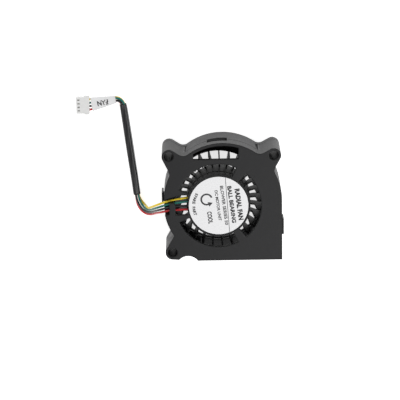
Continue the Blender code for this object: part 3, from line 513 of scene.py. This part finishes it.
class BLOWER_OT_lead(bpy.types.Operator):
    """Lay the four wires from the hub to the plug, with their sleeve and tag"""
    bl_idname = "blower.lead"
    bl_label = "Lead"

    def execute(self, context):
        setup = context.scene.blower_lead
        wires = []
        for index, colour in enumerate(WIRES):
            points = wire_route(index, setup.spacing)
            wires.append((self.wire(colour, points, setup), points))
        sleeve = self.sleeve()
        tag = self.tag(setup)
        word = self.tag_word(tag)
        extras = {"yellow": [sleeve, tag, word, bpy.data.objects["plug_housing"]]}
        for index, (wire, points) in enumerate(wires):
            colour = WIRES[index]
            length = sum((b - a).length for a, b in zip(points, points[1:]))
            extras.get(colour, []) + [f"terminal_{4 - index}"]
        return {"FINISHED"}

    def wire(self, colour, points, setup):
        curve = bpy.data.curves.new(f"{colour}_wire", "CURVE")
        curve.dimensions = "3D"
        curve.bevel_depth = setup.wire / 2
        curve.bevel_resolution = 4
        curve.use_fill_caps = True
        spline = curve.splines.new("POLY")
        spline.points.add(len(points) - 1)
        for point, place in zip(spline.points, points):
            point.co = (*place, 1)
        spline.use_smooth = True
        piece = link(bpy.data.objects.new(f"{colour}_wire", curve))
        finish = glossy_insulation(f"{colour}_insulation", tuple(getattr(setup, colour)))
        return dress(piece, finish, stands_for=[f"wire_{colour}"])

    def sleeve(self):
        """Soft sleeving that shows the square bundle under it as four low lobes."""
        stations = smooth_stations(*SLEEVE_STATIONS, samples=8)
        around = 48
        outer_loops, inner_loops = [], []
        for number, (middle, _, _) in enumerate(stations):
            left, over = lead_frame(stations, number)
            outer_loop, inner_loop = [], []
            share = number / (len(stations) - 1)
            twist = 0.35 * math.sin(3.0 * share) - 0.15
            for step in range(around):
                angle = math.tau * step / around
                lobes = math.cos(4 * (angle + twist - math.radians(45)))
                wave = 0.02 * math.sin(11 * share + 2 * angle) * math.sin(7 * share)
                radius = (SLEEVE_RADIUS + SLEEVE_LOBE * lobes + wave) * MM
                out = left * math.cos(angle) + over * math.sin(angle)
                outer_loop.append(middle + out * radius)
                inner_loop.append(middle + out * (radius - SLEEVE_WALL))
            outer_loops.append(outer_loop)
            inner_loops.append(inner_loop)
        loops = outer_loops + inner_loops[::-1] + outer_loops[:1]
        piece = smooth(loft("wire_sleeve", loops), 50)
        weld(piece)
        finish = Finish("sleeving")
        # Lengthwise streaks painted lighter in the colour as highlights along the sleeve; the same streaks
        # vary its roughness and relief.
        highlight_streaks = finish.noise(0.7 * MM, along=(1.0, 0.06, 1.0), detail=3.0)
        finish.paint(highlight_streaks.between(0.35, 0.7), (0.006, 0.006, 0.007), (0.030, 0.030, 0.032))
        finish.rough(highlight_streaks * 0.25 + 0.26)
        finish.bump(highlight_streaks, 0.03 * MM)
        return dress(piece, finish.material, stands_for=["lead_sleeve"])

    def tag(self, setup):
        """A white film folded round the wires, pressed flat towards the plug."""
        stations = smooth_stations(*TAG_STATIONS, samples=6)
        around = 48
        outer_loops, inner_loops = [], []
        for number, (middle, spacing, closed) in enumerate(stations):
            left, over = lead_frame(stations, number)
            _, outer, rise = spread(spacing, closed, setup.spacing)
            half_width = outer + setup.wire / 2 + 0.32 * MM
            half_height = rise + setup.wire / 2 + 0.2 * MM
            outer_loop, inner_loop = [], []
            for step in range(around):
                angle = math.tau * step / around
                flat = math.copysign(abs(math.cos(angle)) ** 0.6, math.cos(angle))
                up = math.copysign(abs(math.sin(angle)) ** 0.45, math.sin(angle))
                ripple = 0.04 * MM * math.sin(6 * flat + 0.8 * number)
                outer_loop.append(middle + left * flat * half_width + over * (up * half_height + ripple))
                inner_loop.append(middle + left * flat * (half_width - TAG_FILM)
                                  + over * (up * (half_height - TAG_FILM) + ripple))
            outer_loops.append(outer_loop)
            inner_loops.append(inner_loop)
        piece = smooth(loft("tag_film", outer_loops + inner_loops[::-1] + outer_loops[:1]), 50)
        weld(piece)
        finish = Finish("tag_white")
        mottle = finish.noise(1.2 * MM, detail=4.0)
        finish.paint(mottle, (0.80, 0.80, 0.81), (0.90, 0.90, 0.90))
        finish.rough(mottle * 0.2 + 0.35)
        finish.bump(mottle, 0.02 * MM)
        return dress(piece, finish.material, stands_for=["wire_tag"])


    def tag_word(self, tag):
        """One plain word along the tag, laid on the film."""
        shape = bmesh.new()
        x, y, z = LEAD_STATIONS[TAG_STATIONS[1] - 1][:3]
        place = Matrix.Translation((x + 0.8, y + 0.15, 0)) @ Matrix.Rotation(math.radians(191), 4, "Z")
        lettering(shape, "FAN", 4.6, 2.0, place, 0.11)
        piece = printed(shape, "tag_print", (z + 2) * MM)
        lay = piece.modifiers.new("lay", "SHRINKWRAP")
        lay.wrap_method = "PROJECT"
        lay.use_project_z = True
        lay.use_negative_direction, lay.use_positive_direction = True, False
        lay.target = tag
        lay.offset = 0.02 * MM
        lay.wrap_mode = "ABOVE_SURFACE"
        piece.modifiers.move(1, 0)
        return dress(piece, black_ink("tag_ink", (0.02, 0.02, 0.022)))


def weld(piece):
    """Merge the points that lie on each other, so that a skin closes on itself."""
    shape = bmesh.new()
    shape.from_mesh(piece.data)
    bmesh.ops.remove_doubles(shape, verts=shape.verts, dist=1e-7)
    bmesh.ops.recalc_face_normals(shape, faces=shape.faces)
    shape.to_mesh(piece.data)
    shape.free()


# ---- Plug --------------------------------------------------------------------------------------

class BLOWER_OT_plug(bpy.types.Operator):
    """Round the plug's housing and plate its contacts"""
    bl_idname = "blower.plug"
    bl_label = "Plug"

    def execute(self, context):
        piece = refined("connector_housing", "plug_housing", 0.12 * MM)
        finish = Finish("plug_nylon", coat=0.1)
        haze = finish.noise(1.6 * MM, detail=3.0)
        finish.paint(haze, (0.78, 0.78, 0.77), (0.88, 0.88, 0.87))
        finish.rough(haze * 0.2 + 0.28)
        finish.bump(finish.noise(0.3 * MM), 0.006 * MM)
        dress(piece, finish.material, stands_for=["connector_housing"])
        repaint([f"terminal_{i}" for i in range(1, 5)], turned_metal("tin_plate", (0.70, 0.69, 0.66)))
        return {"FINISHED"}


# ---- Case --------------------------------------------------------------------------------------

class BLOWER_OT_case(bpy.types.Operator):
    """Texture the front housing and the rear shell, and soften their edges"""
    bl_idname = "blower.case"
    bl_label = "Case"

    def execute(self, context):
        setup = context.scene.blower_case
        plastic = moulded_plastic("case_black", tuple(setup.plastic), 0.46, 0.16 * MM, 0.012 * MM,
                                  edge=setup.rounding)
        front = refined("front_housing", "front_case")
        dress(front, plastic, stands_for=["front_housing"])
        rear = refined("rear_shell", "rear_case")
        dress(rear, plastic, stands_for=["rear_shell"])
        return {"FINISHED"}


class BLOWER_OT_impeller(bpy.types.Operator):
    """Give the impeller its own plastic, with softened edges"""
    bl_idname = "blower.impeller"
    bl_label = "Impeller"

    def execute(self, context):
        setup = context.scene.blower_case
        plastic = moulded_plastic("impeller_black", tuple(setup.blades), 0.5, 0.3 * MM, 0.006 * MM,
                                  edge=0.15 * MM)
        wheel = refined("impeller", "blade_wheel")
        dress(wheel, plastic, body="rotor", stands_for=["impeller"])
        return {"FINISHED"}


# ---- Label -------------------------------------------------------------------------------------

class BLOWER_OT_label(bpy.types.Operator):
    """Lay the film label in the hub, with plain marks on it"""
    bl_idname = "blower.label"
    bl_label = "Label"

    def execute(self, context):
        setup = context.scene.blower_label
        disc = refined("hub_label", "label_disc", 0.06 * MM)
        film = Finish("label_film", coat=0.1)
        fleck = film.noise(0.35 * MM, detail=4.0, roughness=0.7)
        film.paint(fleck.between(0.3, 0.7), tint(setup.paper, 0.86), tint(setup.paper, 1.08))
        film.rough(fleck * 0.2 + 0.3)
        film.bump(fleck, 0.008 * MM)
        dress(disc, film.material, stands_for=["hub_label"])
        dress(self.marks(), black_ink("label_ink", tuple(setup.ink)))
        return {"FINISHED"}

    def marks(self):
        """The label's print: plain generic words, an arrow for the way the rotor turns, and a fold line."""
        shape = bmesh.new()
        turn = math.radians(-83)
        for words, width, height, x, y, bold in LABEL_WORDS:
            place = Matrix.Translation((x, y, 0)) @ Matrix.Rotation(turn, 4, "Z")
            lettering(shape, words, width, height, place, bold)
        for index, letter in enumerate(LABEL_ARC):
            angle = math.radians(151 + 5.4 * index)
            place = Matrix.Translation((10.3 * math.cos(angle), 10.3 * math.sin(angle), 0))
            upright = Matrix.Rotation(angle + math.radians(90), 4, "Z")
            lettering(shape, letter, None, 1.15, place @ upright, 0.07)
        self.arrow(shape, Vector((-4.9, 2.7)), 2.2, 0.7)
        ends = Vector((2.88, 11.75)), Vector((4.4, -11.25))
        aside = (ends[1] - ends[0]).orthogonal().normalized() * 0.11
        self.patch(shape, [ends[0] - aside, ends[0] + aside, ends[1] + aside, ends[1] - aside])
        return printed(shape, "label_print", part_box("hub_label")[1].z + INK_GAP)

    def patch(self, shape, outline):
        """A flat patch of ink inside an outline, in millimetres."""
        shape.faces.new([shape.verts.new((*point, 0)) for point in outline])

    def arrow(self, shape, middle, radius, stroke):
        """A ring that stops short of closing, with an arrowhead at its end."""
        start, end, steps = math.radians(20), math.radians(290), 30
        inner, outer = [], []
        for step in range(steps + 1):
            angle = start + (end - start) * step / steps
            way = Vector((math.cos(angle), math.sin(angle)))
            inner.append(middle + way * (radius - stroke / 2))
            outer.append(middle + way * (radius + stroke / 2))
        for step in range(steps):
            self.patch(shape, [inner[step], outer[step], outer[step + 1], inner[step + 1]])
        way, ahead = Vector((math.cos(end), math.sin(end))), Vector((-math.sin(end), math.cos(end)))
        tip = middle + way * radius
        self.patch(shape, [tip - way * stroke * 1.5, tip + way * stroke * 1.5, tip + ahead * stroke * 2.6])


# ---- Motor -------------------------------------------------------------------------------------

class BLOWER_OT_motor(bpy.types.Operator):
    """Finish the pieces of the motor inside the hub"""
    bl_idname = "blower.motor"
    bl_label = "Motor"

    def execute(self, context):
        steel = turned_metal("bearing_steel", (0.62, 0.63, 0.65), 0.22)
        repaint(["shaft", "retaining_clip", "front_bearing_outer", "front_bearing_inner",
                 "rear_bearing_outer", "rear_bearing_inner", "front_ball_cage", "rear_ball_cage",
                 "preload_spring", "rotor_yoke"], steel)
        repaint(["shaft_bushing", "thrust_washer"], turned_metal("turned_brass", (0.72, 0.50, 0.20)))
        repaint(["stator_core"], self.laminations())
        repaint([f"coil_{pole}" for pole in range(1, 5)], self.windings())
        nylon = moulded_plastic("natural_nylon", (0.66, 0.63, 0.54), 0.5, 0.3 * MM, 0.006 * MM, 0.06)
        repaint(["upper_insulator", "lower_insulator"], nylon)
        magnet = moulded_plastic("bonded_ferrite", (0.035, 0.032, 0.030), 0.65, 0.1 * MM, 0.01 * MM)
        repaint(["ring_magnet"], magnet)
        board = moulded_plastic("solder_mask", (0.012, 0.10, 0.035), 0.38, 0.6 * MM, 0.01 * MM)
        repaint(["circuit_board"], board)
        epoxy = moulded_plastic("moulded_epoxy", (0.012, 0.012, 0.013), 0.5, 0.08 * MM, 0.006 * MM)
        repaint(["hall_sensor", "driver_chip", "resistor"], epoxy)
        ceramic = moulded_plastic("fired_ceramic", (0.36, 0.26, 0.16), 0.45, 0.2 * MM, 0.006 * MM)
        repaint(["capacitor"], ceramic)
        return {"FINISHED"}

    def laminations(self):
        """Stamped sheets, whose edges show as level lines."""
        finish = Finish("laminations", metallic=1.0)
        sheets = finish.noise(0.35 * MM, along=(0.02, 0.02, 1.0), detail=1.0)
        finish.paint(sheets, (0.16, 0.16, 0.17), (0.38, 0.38, 0.40))
        finish.rough(sheets * 0.2 + 0.35)
        finish.bump(sheets, 0.03 * MM)
        return finish.material

    def windings(self):
        """Enamelled turns that lie side by side."""
        finish = Finish("copper_windings", metallic=1.0, coat=0.4)
        inputs = {"Vector": finish.place, "Scale": 1 / (0.9 * MM), "Distortion": 0.6}
        settings = {"wave_type": "BANDS", "bands_direction": "DIAGONAL"}
        turns = Signal(finish, finish.add("ShaderNodeTexWave", settings, inputs).outputs[1])
        # Painted shade and highlight: the colour runs from dark in the grooves between turns to light on
        # their crests.
        finish.paint(turns, (0.30, 0.10, 0.035), (0.80, 0.36, 0.16))
        finish.rough(turns * -0.1 + 0.38)
        finish.bump(turns, 0.05 * MM)
        return finish.material


# ---- Stage -------------------------------------------------------------------------------------

class BLOWER_OT_stage(bpy.types.Operator):
    """Lay a plain pale floor and light it softly"""
    bl_idname = "blower.stage"
    bl_label = "Stage"

    def execute(self, context):
        setup = context.scene.blower_stage
        shape = bmesh.new()
        bmesh.ops.create_grid(shape, x_segments=1, y_segments=1, size=1.5,
                              matrix=Matrix.Translation((0, 0, -0.05 * MM)))
        floor = from_bmesh(shape, "floor")
        paint = Finish("floor_paint")
        paint.paint(paint.noise(0.2), tint(setup.floor, 0.99), tuple(setup.floor))
        paint.rough(paint.noise(0.1) * 0.1 + 0.7)
        paint.shader.inputs["Emission Color"].default_value = (1, 1, 1, 1)
        paint.shader.inputs["Emission Strength"].default_value = setup.glow
        floor.data.materials.append(paint.material)
        self.surround(context.scene, setup)
        self.softbox("key_light", (0.25, -0.2, 0.6), 0.4, setup.key)
        self.softbox("fill_light", (-0.4, 0.35, 0.45), 0.5, setup.key * 0.6)
        context.scene.view_settings.view_transform = "Standard"
        return {"FINISHED"}

    def surround(self, scene, setup):
        """A bright surround that falls off overhead, so that level black faces stay dark."""
        world = bpy.data.worlds.new("surround")
        scene.world = world
        world.use_nodes = True
        graph = Graph(world.node_tree)
        place = graph.add("ShaderNodeTexCoord").outputs["Generated"]
        height = graph.add("ShaderNodeSeparateXYZ", {}, {0: place}).outputs["Z"]
        inputs = {"Value": height, "From Min": 0.3, "To Min": 0.72 * setup.sky, "To Max": 0.36 * setup.sky}
        strength = graph.add("ShaderNodeMapRange", {}, inputs).outputs["Result"]
        background = world.node_tree.nodes["Background"]
        graph.feed(background.inputs["Color"], (1, 1, 1, 1))
        graph.feed(background.inputs["Strength"], strength)

    def softbox(self, name, place, size, power):
        light = bpy.data.lights.new(name, "AREA")
        light.size = size
        light.energy = power
        box_light = link(bpy.data.objects.new(name, light))
        box_light.location = place
        box_light.rotation_euler = (-Vector(place)).to_track_quat("-Z", "Y").to_euler()


# ---- Panel and running -------------------------------------------------------------------------

class BLOWER_PT_panel(bpy.types.Panel):
    """The blower's steps and settings"""
    bl_idname = "BLOWER_PT_panel"
    bl_label = "Radial Blower"
    bl_space_type = "VIEW_3D"
    bl_region_type = "UI"
    bl_category = "Blower"

    def draw(self, context):
        for step in STEPS:
            self.layout.operator(step.bl_idname)
        for name, group in SETTINGS.items():
            column = self.layout.column(heading=group.__doc__)
            for field in group.__annotations__:
                column.prop(getattr(context.scene, name), field)


STEPS = (BLOWER_OT_camera, BLOWER_OT_plug, BLOWER_OT_lead, BLOWER_OT_case, BLOWER_OT_impeller,
         BLOWER_OT_label, BLOWER_OT_motor, BLOWER_OT_stage)


def register():
    for name, group in SETTINGS.items():
        bpy.utils.register_class(group)
        setattr(bpy.types.Scene, name, bpy.props.PointerProperty(type=group))
    for step in (*STEPS, BLOWER_PT_panel):
        bpy.utils.register_class(step)


def unregister():
    for step in reversed((*STEPS, BLOWER_PT_panel)):
        bpy.utils.unregister_class(step)
    for name, group in reversed(SETTINGS.items()):
        delattr(bpy.types.Scene, name)
        bpy.utils.unregister_class(group)


def main():
    register()
    for step in STEPS:
        family, action = step.bl_idname.split(".")
        getattr(getattr(bpy.ops, family), action)()


if __name__ == "__main__":
    main()
